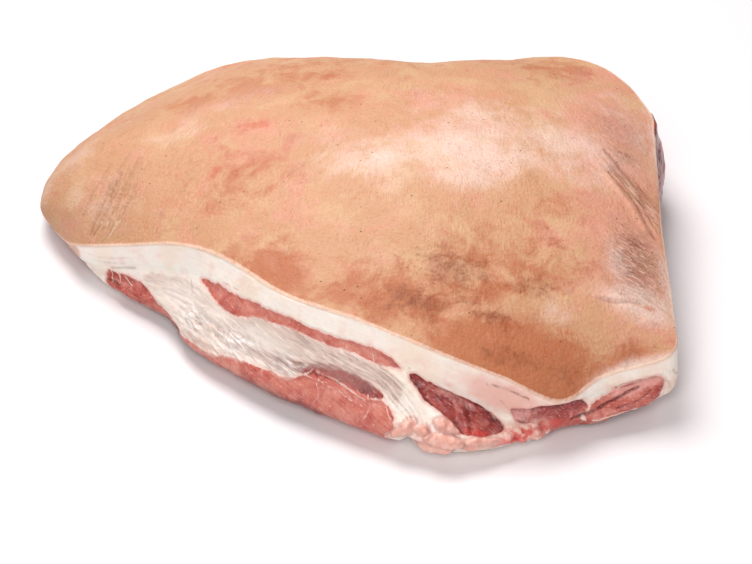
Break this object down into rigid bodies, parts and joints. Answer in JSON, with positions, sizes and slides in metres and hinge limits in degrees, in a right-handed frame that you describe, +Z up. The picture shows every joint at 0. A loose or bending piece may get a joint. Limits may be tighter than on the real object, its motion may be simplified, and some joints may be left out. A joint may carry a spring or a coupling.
{
  "type": "raw pork shoulder",
  "caption": "Raw skin-on pork shoulder joint lying skin side up, with tan rind over a cap of back fat and cut red meat showing at the sides.",
  "frame": {"origin": "on the resting surface, under the middle of the joint's box", "axes": "+Z up through the skin, +X along the long side from the shank end to the neck end, -Y towards the longest cut face"},
  "size_m": [0.4264, 0.3612, 0.0981],
  "materials": {
    "rind": null,
    "fat": null,
    "lean": null
  },
  "bodies": {
    "root": {"fat_cap": "rind", "lean": "lean"}
  },
  "joints": []
}
